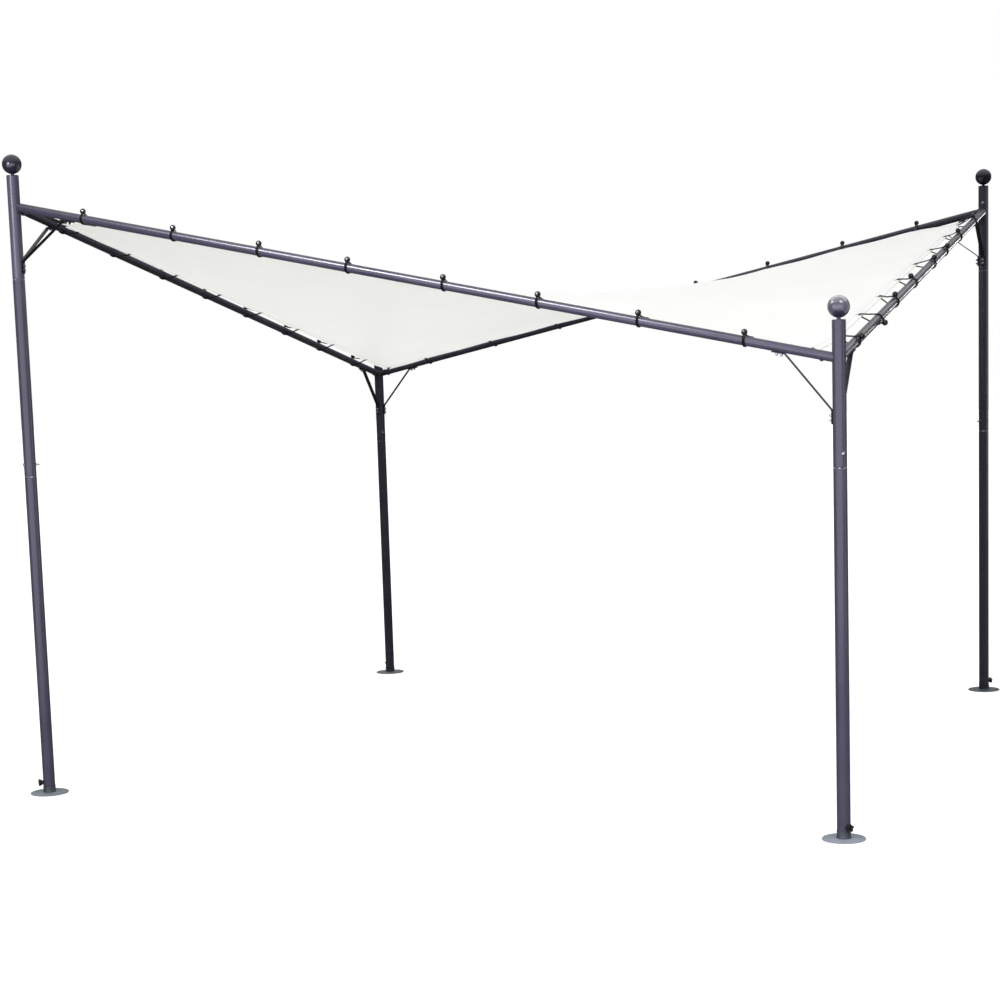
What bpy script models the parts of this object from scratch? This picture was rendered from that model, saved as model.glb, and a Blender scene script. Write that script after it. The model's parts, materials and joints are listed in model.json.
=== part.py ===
"""Garden pavilion: four round steel posts, four sloping beams and a saddle-shaped fabric canopy.

Two opposite posts are tall and two are short, so the canopy tied between the beams is a saddle.
The object stands on z = 0, centred on the origin, with its front towards -Y. Metres, +Z up.
"""

from math import acos, atan2, cos, hypot, pi, radians, sin, sqrt

import bmesh
import bpy
from mathutils import Matrix, Vector

# Driving dimensions
POST_SPACING = 3.45
POST_DIAMETER = 0.050
BEAM_DIAMETER = 0.035
TUBE_WALL = 0.0015
HIGH_BEAM_Z = 2.478
LOW_BEAM_Z = 1.748
HIGH_POST_TOP = 2.605
LOW_POST_TOP = 1.885
LOWER_SEAM_Z = 1.361
UPPER_SEAM_Z = 2.180
FIT_GAP = 0.0003

# Tube joints
NECK_LENGTH = 0.080
SPIGOT_LENGTH = 0.080

# Feet
PLATE_DIAMETER = 0.160
PLATE_THICKNESS = 0.004
PLATE_HOLE_DIAMETER = 0.012
PLATE_HOLE_RADIUS = 0.066
STUB_DIAMETER = 0.052
STUB_TOP = 0.035
KNOB_Z = 0.048
KNOB_DIAMETER = 0.028
KNOB_LENGTH = 0.016
KNOB_BOSS_DIAMETER = 0.014
KNOB_BOSS_LENGTH = 0.003
KNOB_EDGE = 0.002
SCREW_DIAMETER = 0.008
SCREW_INSIDE_POST = 0.007

# Ball finials
BALL_DIAMETER = 0.080
BALL_CENTRE_ABOVE_POST = 0.045
CAP_THICKNESS = 0.002
PLUG_DEPTH = 0.015
FINIAL_NECK_DIAMETER = 0.015

# Braces of bent flat bar
BRACE_WIDTH = 0.020
BRACE_THICKNESS = 0.004
BRACE_REACH_LOW = 0.196
BRACE_REACH_HIGH = 0.236
BRACE_DROP_LOW = 0.183
BRACE_DROP_HIGH = 0.226
LUG_LENGTH = 0.050

# Canopy, its hems and its elastic ties
EDGE_INSET = 0.065
HEM_WIDTH = 0.035
CLOTH_THICKNESS = 0.003
MID_SAG = 0.026
EYELET_INSET = 0.083
CORNER_EYELET_INSET = 0.088
CLOTH_CELLS = 10
TIES_PER_SIDE = 8
FIRST_TIE_FROM_POST = 0.336
TIE_WIDTH = 0.010
TIE_THICKNESS = 0.005
TIE_BALL_DIAMETER = 0.024
TIE_BALL_ABOVE_AXIS = 0.034

# Facets
POST_SIDES = 16
BEAM_SIDES = 16
SCREW_SIDES = 12
PLATE_HOLE_SIDES = 10
FINIAL_RINGS = 7
LOOP_STEPS = 7
TIE_BALL_SIDES = 6

HALF = POST_SPACING / 2
POST_RADIUS = POST_DIAMETER / 2
BEAM_RADIUS = BEAM_DIAMETER / 2
SLOPE = (HIGH_BEAM_Z - LOW_BEAM_Z) / POST_SPACING
SLOPE_COS = cos(atan2(HIGH_BEAM_Z - LOW_BEAM_Z, POST_SPACING))

# Corner name: side of the middle in X and Y, and whether its post is tall.
CORNERS = {
    "front_left": (-1, -1, True),
    "front_right": (1, -1, False),
    "back_left": (-1, 1, False),
    "back_right": (1, 1, True),
}
# Side name: the turn about Z that brings the front beam to that side, and the sign of its slope.
SIDES = {
    "front": (0, -1),
    "right": (90, 1),
    "back": (180, -1),
    "left": (270, 1),
}


def clear_scene():
    for obj in list(bpy.data.objects):
        bpy.data.objects.remove(obj, do_unlink=True)


def make_material(name, colour, roughness, metallic=0.0):
    material = bpy.data.materials.new(name)
    material.use_nodes = True
    shader = material.node_tree.nodes["Principled BSDF"]
    shader.inputs["Base Color"].default_value = (*colour, 1.0)
    shader.inputs["Roughness"].default_value = roughness
    shader.inputs["Metallic"].default_value = metallic
    material.diffuse_color = (*colour, 1.0)
    return material


def finish(bm, name, material, smooth_angle=30.0):
    """Makes an object of a bmesh, with its faces outward and its round faces smooth."""
    bmesh.ops.remove_doubles(bm, verts=bm.verts, dist=1e-6)
    bmesh.ops.recalc_face_normals(bm, faces=bm.faces)
    mesh = bpy.data.meshes.new(name)
    bm.to_mesh(mesh)
    bm.free()
    mesh.materials.append(material)
    mesh.shade_smooth()
    mesh.set_sharp_from_angle(angle=radians(smooth_angle))
    obj = bpy.data.objects.new(name, mesh)
    bpy.context.scene.collection.objects.link(obj)
    return obj


def make_helper(obj):
    obj.hide_render = True
    obj.display_type = "WIRE"
    return obj


def boolean(obj, other, operation):
    modifier = obj.modifiers.new(f"{operation.lower()} {other.name}", "BOOLEAN")
    modifier.operation = operation
    modifier.solver = "EXACT"
    if isinstance(other, bpy.types.Collection):
        modifier.operand_type = "COLLECTION"
        modifier.collection = other
    else:
        modifier.object = other


def turned(name, profile, sides, material, closed=False):
    """Spins a profile of (radius, z) points about Z. A closed profile makes a tube."""
    bm = bmesh.new()
    points = [bm.verts.new((radius, 0, z)) for radius, z in profile]
    pairs = list(zip(points, points[1:]))
    if closed:
        pairs.append((points[-1], points[0]))
    edges = [bm.edges.new(pair) for pair in pairs]
    bmesh.ops.spin(
        bm, geom=points + edges, cent=(0, 0, 0), axis=(0, 0, 1),
        angle=2 * pi, steps=sides, use_merge=True,
    )
    bmesh.ops.dissolve_degenerate(bm, edges=bm.edges, dist=1e-7)
    return finish(bm, name, material)


def prism(bm, outline, width):
    """Adds a flat outline in XZ, thickened evenly along Y."""
    rows = [[bm.verts.new((x, y, z)) for x, z in outline] for y in (-width / 2, width / 2)]
    bm.faces.new(rows[0])
    bm.faces.new(rows[1][::-1])
    count = len(outline)
    for i in range(count):
        j = (i + 1) % count
        bm.faces.new((rows[0][i], rows[1][i], rows[1][j], rows[0][j]))


def side_matrix(turn, slope_sign):
    """Takes a side's own frame to the world: X along the beam, Y inward, Z up from its axis.

    The shear makes what is drawn level follow the beam's slope.
    """
    shear = Matrix.Identity(4)
    shear[2][0] = slope_sign * SLOPE
    lift = Matrix.Translation((0, -HALF, (HIGH_BEAM_Z + LOW_BEAM_Z) / 2))
    return Matrix.Rotation(radians(turn), 4, "Z") @ lift @ shear


def corner_point(corner, z=0.0):
    side_x, side_y, _ = CORNERS[corner]
    return Vector((side_x * HALF, side_y * HALF, z))


def post_top(corner):
    return HIGH_POST_TOP if CORNERS[corner][2] else LOW_POST_TOP


def canopy_height(x, y):
    """The saddle through the four beam axes, with a slight sag in the middle of the cloth."""
    middle = (HIGH_BEAM_Z + LOW_BEAM_Z) / 2
    rise = (HIGH_BEAM_Z - LOW_BEAM_Z) / 2
    u = x / HALF
    v = y / HALF
    return middle + rise * u * v - MID_SAG * (1 - u * u) * (1 - v * v)


def foot(corner, material):
    """A round plate with a welded stub, whose neck stands inside the post."""
    neck = POST_RADIUS - TUBE_WALL - FIT_GAP
    bore = neck - TUBE_WALL
    profile = [
        (0, 0),
        (PLATE_DIAMETER / 2, 0),
        (PLATE_DIAMETER / 2, PLATE_THICKNESS),
        (STUB_DIAMETER / 2, PLATE_THICKNESS),
        (STUB_DIAMETER / 2, STUB_TOP),
        (neck, STUB_TOP),
        (neck, STUB_TOP + NECK_LENGTH),
        (bore, STUB_TOP + NECK_LENGTH),
        (bore, PLATE_THICKNESS),
        (0, PLATE_THICKNESS),
    ]
    obj = turned(f"foot_{corner}", profile, POST_SIDES, material)
    obj.location = corner_point(corner)
    for side in (-1, 1):
        bm = bmesh.new()
        bmesh.ops.create_cone(
            bm, cap_ends=True, segments=PLATE_HOLE_SIDES, depth=4 * PLATE_THICKNESS,
            radius1=PLATE_HOLE_DIAMETER / 2, radius2=PLATE_HOLE_DIAMETER / 2,
        )
        cutter = make_helper(finish(bm, f"anchor_hole_{corner}_{side + 1}", material))
        cutter.location = corner_point(corner) + Vector((side * PLATE_HOLE_RADIUS, 0, 0))
        boolean(obj, cutter, "DIFFERENCE")
    return obj


def post_section(name, corner, bottom, top, material, has_neck=True):
    """A length of post tube. Its top is drawn in to a neck that the next length slides over."""
    bore = POST_RADIUS - TUBE_WALL
    neck = bore - FIT_GAP
    neck_bore = neck - TUBE_WALL
    profile = [(bore, bottom), (POST_RADIUS, bottom), (POST_RADIUS, top)]
    if has_neck:
        profile += [
            (neck, top),
            (neck, top + NECK_LENGTH),
            (neck_bore, top + NECK_LENGTH),
            (neck_bore, top - 2 * TUBE_WALL),
            (bore, top - 4 * TUBE_WALL),
        ]
    else:
        profile.append((bore, top))
    obj = turned(name, profile, POST_SIDES, material, closed=True)
    obj.location = corner_point(corner)
    return obj


def sloping_tube(name, start, end, radius, sides, matrix, material):
    """A tube of round section along a side's beam, with its ends cut upright."""
    bm = bmesh.new()
    rings = []
    for x, r in ((start, radius), (end, radius), (end, radius - TUBE_WALL), (start, radius - TUBE_WALL)):
        angles = [2 * pi * i / sides for i in range(sides)]
        rings.append([bm.verts.new((x, r * cos(a), r * sin(a) / SLOPE_COS)) for a in angles])
    for one, two in zip(rings, rings[1:] + rings[:1]):
        for i in range(sides):
            j = (i + 1) % sides
            bm.faces.new((one[i], one[j], two[j], two[i]))
    bmesh.ops.transform(bm, matrix=matrix, verts=bm.verts)
    return finish(bm, name, material)


def corner_section(corner, bottom, material):
    """The top length of a post, with a spigot welded on for each of its two beams."""
    top = post_top(corner) - CAP_THICKNESS - FIT_GAP
    obj = post_section(f"post_top_{corner}", corner, bottom, top, material, has_neck=False)
    spigot_radius = BEAM_RADIUS - TUBE_WALL - FIT_GAP
    for side, (turn, slope_sign) in SIDES.items():
        matrix = side_matrix(turn, slope_sign)
        for end in (-1, 1):
            post = matrix @ Vector((end * HALF, 0, 0))
            if hypot(post.x - obj.location.x, post.y - obj.location.y) > POST_RADIUS:
                continue
            inner = end * (HALF - POST_RADIUS + TUBE_WALL)
            outer = end * (HALF - POST_RADIUS - SPIGOT_LENGTH)
            spigot = sloping_tube(
                f"spigot_{corner}_{side}", inner, outer, spigot_radius, BEAM_SIDES, matrix, material
            )
            boolean(obj, make_helper(spigot), "UNION")
    return obj


def knob(corner, material):
    """The clamping screw of a foot, on the outward diagonal, with its round head."""
    side_x, side_y, _ = CORNERS[corner]
    tip = POST_RADIUS - SCREW_INSIDE_POST
    face = POST_RADIUS + FIT_GAP
    head = face + KNOB_BOSS_LENGTH
    end = head + KNOB_LENGTH
    screw = SCREW_DIAMETER / 2
    boss = KNOB_BOSS_DIAMETER / 2
    grip = KNOB_DIAMETER / 2
    profile = [
        (0, tip),
        (screw, tip),
        (screw, face),
        (boss, face),
        (boss, head),
        (grip - KNOB_EDGE, head),
        (grip, head + KNOB_EDGE),
        (grip, end - 2 * KNOB_EDGE),
        (grip - 2 * KNOB_EDGE, end),
        (0, end),
    ]
    obj = turned(f"foot_knob_{corner}", profile, SCREW_SIDES, material)
    obj.rotation_euler = Vector((side_x, side_y, 0)).to_track_quat("Z", "X").to_euler()
    obj.location = corner_point(corner, KNOB_Z)
    return obj


def screw_hole(corner, material):
    """The hole for a foot's clamping screw, through the post and the neck inside it."""
    side_x, side_y, _ = CORNERS[corner]
    outward = Vector((side_x, side_y, 0)).normalized()
    radius = SCREW_DIAMETER / 2 + FIT_GAP
    bm = bmesh.new()
    bmesh.ops.create_cone(
        bm, cap_ends=True, segments=SCREW_SIDES, depth=2 * SCREW_INSIDE_POST,
        radius1=radius, radius2=radius,
    )
    cutter = make_helper(finish(bm, f"screw_hole_{corner}", material))
    cutter.rotation_euler = outward.to_track_quat("Z", "X").to_euler()
    cutter.location = corner_point(corner, KNOB_Z) + outward * (POST_RADIUS - TUBE_WALL)
    return cutter


def finial(corner, material):
    """A ball on a short neck, with the cap and plug that close the top of the post."""
    base = post_top(corner) - CAP_THICKNESS
    plug = POST_RADIUS - TUBE_WALL - FIT_GAP
    neck = FINIAL_NECK_DIAMETER / 2
    ball = BALL_DIAMETER / 2
    centre = post_top(corner) + BALL_CENTRE_ABOVE_POST
    profile = [
        (0, base - PLUG_DEPTH),
        (plug, base - PLUG_DEPTH),
        (plug, base),
        (POST_RADIUS, base),
        (POST_RADIUS, base + CAP_THICKNESS),
        (neck, base + CAP_THICKNESS),
    ]
    lowest = -sqrt(ball * ball - neck * neck)
    start = atan2(lowest, neck)
    for i in range(FINIAL_RINGS):
        angle = start + (pi / 2 - start) * i / FINIAL_RINGS
        profile.append((ball * cos(angle), centre + ball * sin(angle)))
    profile.append((0, centre + ball))
    obj = turned(f"finial_{corner}", profile, POST_SIDES, material)
    obj.location = corner_point(corner)
    return obj


def beam(side, material):
    turn, slope_sign = SIDES[side]
    reach = HALF - POST_RADIUS - FIT_GAP
    matrix = side_matrix(turn, slope_sign)
    return sloping_tube(f"beam_{side}", -reach, reach, BEAM_RADIUS, BEAM_SIDES, matrix, material)


def thickened(path, thickness):
    """The outline of a bent strip whose middle line is the path, mitred at its bends."""
    points = [Vector(point) for point in path]
    left = []
    right = []
    for i, point in enumerate(points):
        before = (point - points[i - 1]).normalized() if i else None
        after = (points[i + 1] - point).normalized() if i + 1 < len(points) else None
        before = before or after
        after = after or before
        along = (before + after).normalized()
        across = Vector((-along.y, along.x))
        reach = thickness / 2 / max(across.dot(Vector((-before.y, before.x))), 0.2)
        left.append(point + across * reach)
        right.append(point - across * reach)
    return [tuple(point) for point in left + right[::-1]]


def brace(side, end, material):
    """A bent flat bar from a post to a beam, with a lug lying along each of them.

    It is drawn in the side's frame with X measured from the post towards the beam's middle.
    """
    turn, slope_sign = SIDES[side]
    matrix = side_matrix(turn, slope_sign)
    post = matrix @ Vector((end * HALF, 0, 0))
    corner = min(CORNERS, key=lambda name: (corner_point(name, post.z) - post).length)
    is_high = CORNERS[corner][2]
    rise = -SLOPE if is_high else SLOPE
    drop = BRACE_DROP_HIGH if is_high else BRACE_DROP_LOW
    reach = BRACE_REACH_HIGH if is_high else BRACE_REACH_LOW
    post_line = POST_RADIUS + FIT_GAP + BRACE_THICKNESS / 2
    beam_line = -(BEAM_RADIUS + FIT_GAP + BRACE_THICKNESS / 2) / SLOPE_COS
    lug_end = reach + LUG_LENGTH * SLOPE_COS
    path = [
        (post_line, -drop - LUG_LENGTH),
        (post_line, -drop),
        (reach, beam_line + rise * reach),
        (lug_end, beam_line + rise * lug_end),
    ]
    bm = bmesh.new()
    prism(bm, thickened(path, BRACE_THICKNESS), BRACE_WIDTH)
    place = Matrix.Translation(post) @ Matrix.Rotation(radians(turn), 4, "Z")
    flip = Matrix.Scale(-end, 4, (1, 0, 0))
    bmesh.ops.transform(bm, matrix=place @ flip, verts=bm.verts)
    return finish(bm, f"brace_{corner}_{side}", material)


def cloth(name, xs, ys, material):
    """A thick piece of the saddle over a grid of X and Y lines, as one closed body."""
    bm = bmesh.new()
    layers = []
    for offset in (0.5, -0.5):
        lift = offset * CLOTH_THICKNESS
        layers.append([[bm.verts.new((x, y, canopy_height(x, y) + lift)) for x in xs] for y in ys])
    top, bottom = layers
    last_row = len(ys) - 1
    last_column = len(xs) - 1
    for j in range(last_row):
        for i in range(last_column):
            for layer in layers:
                a = layer[j][i]
                b = layer[j][i + 1]
                c = layer[j + 1][i + 1]
                d = layer[j + 1][i]
                bm.faces.new((a, b, c))
                bm.faces.new((a, c, d))
    for i in range(last_column):
        for j in (0, last_row):
            bm.faces.new((top[j][i], top[j][i + 1], bottom[j][i + 1], bottom[j][i]))
    for j in range(last_row):
        for i in (0, last_column):
            bm.faces.new((top[j][i], top[j + 1][i], bottom[j + 1][i], bottom[j][i]))
    return finish(bm, name, material)


def evenly(start, end, count):
    return [start + (end - start) * i / count for i in range(count + 1)]


def teardrop(apex, radius):
    """Outline of a cord drawn from an apex round a circle about the origin and back.

    Its corners lie a little outside the circle, so that its flats clear it.
    """
    distance = hypot(*apex)
    middle = atan2(apex[1], apex[0])
    spread = acos(radius / distance)
    corner_radius = radius / cos((pi - spread) / LOOP_STEPS)
    angles = evenly(middle + spread, middle + 2 * pi - spread, LOOP_STEPS)
    return [tuple(apex)] + [(corner_radius * cos(a), corner_radius * sin(a)) for a in angles]


def loop_body(bm, apex, radius):
    """A flat elastic loop round a tube: a teardrop ring of even thickness, width along Y."""
    half = TIE_THICKNESS / 2
    rings = []
    for offset in (half, -half):
        stretch = (radius + offset) / radius
        rings.append(teardrop((apex[0] * stretch, apex[1] * stretch), radius + offset))
    layers = []
    for y in (-TIE_WIDTH / 2, TIE_WIDTH / 2):
        layers.append([[bm.verts.new((x, y, z)) for x, z in ring] for ring in rings])
    (outer_one, inner_one), (outer_two, inner_two) = layers
    count = len(outer_one)
    walls = (
        (outer_one, outer_two),
        (inner_one, inner_two),
        (outer_one, inner_one),
        (outer_two, inner_two),
    )
    for one, two in walls:
        for i in range(count):
            j = (i + 1) % count
            bm.faces.new((one[i], one[j], two[j], two[i]))


def side_ties(side, material):
    """The elastic loops of one side, as helpers in one collection."""
    turn, slope_sign = SIDES[side]
    matrix = side_matrix(turn, slope_sign)
    group = bpy.data.collections.new(f"ties_{side}")
    clear_radius = BEAM_RADIUS / SLOPE_COS + FIT_GAP + TIE_THICKNESS / 2
    first = -HALF + FIRST_TIE_FROM_POST
    for i, x in enumerate(evenly(first, -first, TIES_PER_SIDE - 1)):
        eyelet = matrix @ Vector((x, EYELET_INSET, 0))
        rise = canopy_height(eyelet.x, eyelet.y) - eyelet.z
        bm = bmesh.new()
        loop_body(bm, (EYELET_INSET, rise), clear_radius)
        bmesh.ops.rotate(bm, verts=bm.verts, matrix=Matrix.Rotation(pi / 2, 3, "Z"))
        bmesh.ops.translate(bm, verts=bm.verts, vec=(x, 0, 0))
        bmesh.ops.transform(bm, matrix=matrix, verts=bm.verts)
        group.objects.link(make_helper(finish(bm, f"tie_loop_{side}_{i}", material)))
        bm = bmesh.new()
        ball = matrix @ Vector((x, 0, TIE_BALL_ABOVE_AXIS))
        bmesh.ops.create_uvsphere(
            bm, u_segments=TIE_BALL_SIDES, v_segments=TIE_BALL_SIDES - 1,
            radius=TIE_BALL_DIAMETER / 2, matrix=Matrix.Translation(ball),
        )
        group.objects.link(make_helper(finish(bm, f"tie_ball_{side}_{i}", material)))
    return group


def corner_ties(side, group, material):
    """Level loops round the two posts of a side, from the eyelets in the canopy's corners."""
    turn, slope_sign = SIDES[side]
    matrix = side_matrix(turn, slope_sign)
    for end in (-1, 1):
        post = matrix @ Vector((end * HALF, 0, 0))
        inward = Vector((-post.x, -post.y, 0)).normalized()
        reach = CORNER_EYELET_INSET * sqrt(2)
        eyelet = Vector((post.x, post.y, 0)) + inward * reach
        height = canopy_height(eyelet.x, eyelet.y)
        bm = bmesh.new()
        loop_body(bm, (reach, 0), POST_RADIUS + FIT_GAP + TIE_THICKNESS / 2)
        bmesh.ops.rotate(bm, verts=bm.verts, matrix=Matrix.Rotation(pi / 2, 3, "X"))
        turn_in = Matrix.Rotation(atan2(inward.y, inward.x), 4, "Z")
        place = Matrix.Translation((post.x, post.y, height)) @ turn_in
        bmesh.ops.transform(bm, matrix=place, verts=bm.verts)
        group.objects.link(make_helper(finish(bm, f"corner_tie_{side}_{end + 1}", material)))


def hem(side, material):
    """The doubled edge of one side of the canopy, with its eyelet ties joined to it."""
    turn, slope_sign = SIDES[side]
    outer = HALF - EDGE_INSET
    inner = outer - HEM_WIDTH
    across = evenly(-outer, -inner, 1)
    is_long = side in ("front", "back")
    end = outer if is_long else inner - FIT_GAP
    along = evenly(-inner, inner, CLOTH_CELLS)
    if is_long:
        along = [-end] + along + [end]
    else:
        along[0] = -end
        along[-1] = end
    if side in ("back", "right"):
        across = [-value for value in across[::-1]]
    xs, ys = (along, across) if is_long else (across, along)
    obj = cloth(f"hem_{side}", xs, ys, material)
    group = side_ties(side, material)
    if is_long:
        corner_ties(side, group, material)
    boolean(obj, group, "UNION")
    return obj


def canopy(material):
    edge = HALF - EDGE_INSET - HEM_WIDTH
    lines = evenly(-edge, edge, CLOTH_CELLS)
    lines[0] += FIT_GAP
    lines[-1] -= FIT_GAP
    return cloth("canopy", lines, lines, material)


def build():
    clear_scene()
    paint = make_material("powder_coated_steel", (0.10, 0.095, 0.13), 0.38, 0.1)
    plate = make_material("coated_plate", (0.22, 0.24, 0.26), 0.5, 0.2)
    plastic = make_material("black_plastic", (0.015, 0.015, 0.017), 0.35)
    enamel = make_material("glossy_finial", (0.06, 0.055, 0.085), 0.12)
    fabric = make_material("white_canopy_fabric", (0.90, 0.90, 0.89), 0.65)
    elastic = make_material("black_elastic", (0.02, 0.02, 0.02), 0.6)

    for corner, (_, _, is_high) in CORNERS.items():
        base = foot(corner, plate)
        lower = post_section(
            f"post_lower_{corner}", corner, STUB_TOP + FIT_GAP, LOWER_SEAM_Z, paint
        )
        hole = screw_hole(corner, paint)
        boolean(base, hole, "DIFFERENCE")
        boolean(lower, hole, "DIFFERENCE")
        knob(corner, plastic)
        seam = LOWER_SEAM_Z
        if is_high:
            post_section(
                f"post_middle_{corner}", corner, LOWER_SEAM_Z + FIT_GAP, UPPER_SEAM_Z, paint
            )
            seam = UPPER_SEAM_Z
        corner_section(corner, seam + FIT_GAP, paint)
        finial(corner, enamel)

    for side in SIDES:
        beam(side, paint)
        for end in (-1, 1):
            brace(side, end, paint)
        hem(side, elastic)
    canopy(fabric)


build()
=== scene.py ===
import json
from functools import partial
from math import acos, atan2, cos, degrees, exp, hypot, pi, radians, sin, sqrt

import bmesh
import bpy
from mathutils import Matrix, Vector, noise

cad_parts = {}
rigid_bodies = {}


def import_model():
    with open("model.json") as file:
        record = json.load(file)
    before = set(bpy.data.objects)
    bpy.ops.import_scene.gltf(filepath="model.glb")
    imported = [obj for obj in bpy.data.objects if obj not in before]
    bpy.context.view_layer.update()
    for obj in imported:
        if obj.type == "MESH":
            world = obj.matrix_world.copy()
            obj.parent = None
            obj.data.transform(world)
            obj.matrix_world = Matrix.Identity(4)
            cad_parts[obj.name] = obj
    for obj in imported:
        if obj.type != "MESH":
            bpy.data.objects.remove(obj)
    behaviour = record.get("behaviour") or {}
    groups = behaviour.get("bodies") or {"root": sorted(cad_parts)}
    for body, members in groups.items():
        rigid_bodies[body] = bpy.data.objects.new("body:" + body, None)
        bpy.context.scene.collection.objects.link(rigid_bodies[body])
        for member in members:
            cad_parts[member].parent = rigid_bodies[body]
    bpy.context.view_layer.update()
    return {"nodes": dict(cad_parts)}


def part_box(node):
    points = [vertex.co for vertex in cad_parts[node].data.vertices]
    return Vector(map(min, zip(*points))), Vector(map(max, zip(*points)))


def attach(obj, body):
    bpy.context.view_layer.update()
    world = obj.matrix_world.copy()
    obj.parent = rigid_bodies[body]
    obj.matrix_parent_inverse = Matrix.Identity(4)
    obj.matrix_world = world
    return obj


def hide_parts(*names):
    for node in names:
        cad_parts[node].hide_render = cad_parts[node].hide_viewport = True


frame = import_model()
bpy.ops.object.select_all(action="DESELECT")
print("frame loaded,", len(frame["nodes"]), "nodes")


# The pavilion's own sizes, in metres. What the frame shows is read from it.
postLow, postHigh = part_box("post_middle_back_right")
halfSpan = (postLow.x + postHigh.x) / 2  # from the middle to a post's axis
postRadius = (postHigh.x - postLow.x) / 2
lowerSeam = postLow.z
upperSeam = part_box("post_top_back_right")[0].z
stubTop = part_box("post_lower_back_right")[0].z
pavilion = {
    # at the two short posts and at the two tall ones
    "beamHeight": (1.748, 2.478),  # of the beams' axes
    "postTop": (1.885, 2.605),
    "beamDiameter": 0.035,
    "wall": 0.0015,
    "fitGap": 0.0003,
}
beamLow, beamHigh = pavilion["beamHeight"]
beamRadius = pavilion["beamDiameter"] / 2
wall = pavilion["wall"]
fitGap = pavilion["fitGap"]
middleHeight = (beamHigh + beamLow) / 2
rise = (beamHigh - beamLow) / 2
slope = rise / halfSpan
slopeCos = cos(atan2(rise, halfSpan))

# Corner: side in X, side in Y, and whether the post is tall.
corners = {
    "front_left": (-1, -1, True),
    "front_right": (1, -1, False),
    "back_left": (-1, 1, False),
    "back_right": (1, 1, True),
}
# Side: the turn that brings the front beam there, the sign of its slope along its own X, and its two corners.
sides = {
    "front": (0, -1, "front_left", "front_right"),
    "right": (90, 1, "front_right", "back_right"),
    "back": (180, -1, "back_right", "back_left"),
    "left": (270, 1, "back_left", "front_left"),
}
beamEnds = [(side, end, corner) for side in sides for end, corner in zip((-1, 1), sides[side][2:])]


def plainName(text):
    words = text.split("_")
    return words[0] + "".join(word.capitalize() for word in words[1:])


def sideTurn(side):
    return Matrix.Rotation(radians(sides[side][0]), 4, "Z")


def sideMatrix(side):
    # X along the beam, Y inward, Z up from the beam's axis, sheared to follow its slope
    shear = Matrix.Identity(4)
    shear[2][0] = sides[side][1] * slope
    return sideTurn(side) @ Matrix.Translation((0, -halfSpan, middleHeight)) @ shear


def beamPoint(side, x, inward=0.0):
    return sideMatrix(side) @ Vector((x, inward, 0))


def postPlace(corner, z=0.0):
    return Vector((corners[corner][0] * halfSpan, corners[corner][1] * halfSpan, z))


def atPost(corner, z=0.0):
    return Matrix.Translation(postPlace(corner, z))


def pointing(where, direction, upAxis="Y"):
    return Matrix.Translation(where) @ Vector(direction).to_track_quat("Z", upAxis).to_matrix().to_4x4()


# Colours and nodes

def colour(hexText):
    channels = [int(hexText[i:i + 2], 16) / 255 for i in (1, 3, 5)]
    return (*(c / 12.92 if c <= 0.04045 else ((c + 0.055) / 1.055) ** 2.4 for c in channels), 1.0)


def link(node, links):
    for socket, (source, output) in links.items():
        node.id_data.links.new(source.outputs[output], node.inputs[socket])


def addNode(tree, kind, values=None, links=None, **settings):
    node = tree.nodes.new("ShaderNode" + kind)
    for name, value in settings.items():
        setattr(node, name, value)
    for socket, value in (values or {}).items():
        node.inputs[socket].default_value = value
    link(node, links or {})
    return node


def newMaterial(name, shaderValues):
    material = bpy.data.materials.new(name)
    material.use_nodes = True
    shader = material.node_tree.nodes["Principled BSDF"]
    for socket, value in shaderValues.items():
        shader.inputs[socket].default_value = value
    return material, partial(addNode, material.node_tree), shader


def powderCoat(name, baseHex, dustAndShadeHex, roughness, patches=1.0):
    # Polyester powder sprayed on steel and baked: satin, with an orange-peel skin, dust in patches, and pale
    # colour where a vertex attribute puts it, which on the foot plates is dust and painted light and shade,
    # and chips to bare metal where the attribute "wear" says that rims rub.
    # The peel is really 1 to 2 mm across; it is drawn at 3 mm so that it shows.
    peelSize = 0.003
    chipSize = 0.008
    cloudSize = 0.18
    material, add, shader = newMaterial(name, {"IOR": 1.37})
    skin = {"Vector": (add("TexCoord"), "Object")}
    clouds = add("TexNoise", {"Scale": 1 / cloudSize, "Detail": 5, "Roughness": 0.6}, skin)
    dust = add("MapRange", {1: 0.35, 2: 0.75}, {0: (clouds, "Fac")})
    # pale colour from the vertex attribute: dust, and on the foot plates painted light and shade as well
    settledDustAndShade = add("Attribute", attribute_name="dust")
    dustAndShadeShare = add("Math", {1: patches}, {0: (dust, 0), 2: (settledDustAndShade, "Fac")}, operation="MULTIPLY_ADD")
    tint = add("Mix", {6: colour(baseHex), 7: colour(dustAndShadeHex)}, {0: (dustAndShadeShare, 0)}, data_type="RGBA")
    chips = add("TexNoise", {"Scale": 1 / chipSize, "Detail": 3}, skin)
    wear = add("Attribute", attribute_name="wear")
    rubbed = add("Math", links={0: (wear, "Fac"), 1: (chips, "Fac")}, operation="ADD")
    bare = add("MapRange", {1: 1.48, 2: 1.62}, {0: (rubbed, 0)})
    worn = add("Mix", {7: colour("#A0A3A9")}, {0: (bare, 0), 6: (tint, 2)}, data_type="RGBA")
    shine = add("MapRange", {1: 0.3, 2: 0.7, 3: roughness - 0.04, 4: roughness + 0.07}, {0: (clouds, "Fac")})
    peel = add("TexNoise", {"Scale": 1 / peelSize, "Detail": 1.5}, skin)
    bump = add("Bump", {"Strength": 0.12, "Distance": 0.0004}, {"Height": (peel, "Fac")})
    link(shader, {"Base Color": (worn, 2), "Metallic": (bare, 0), "Roughness": (shine, 0),
                  "Normal": (bump, 0)})
    return material


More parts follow.
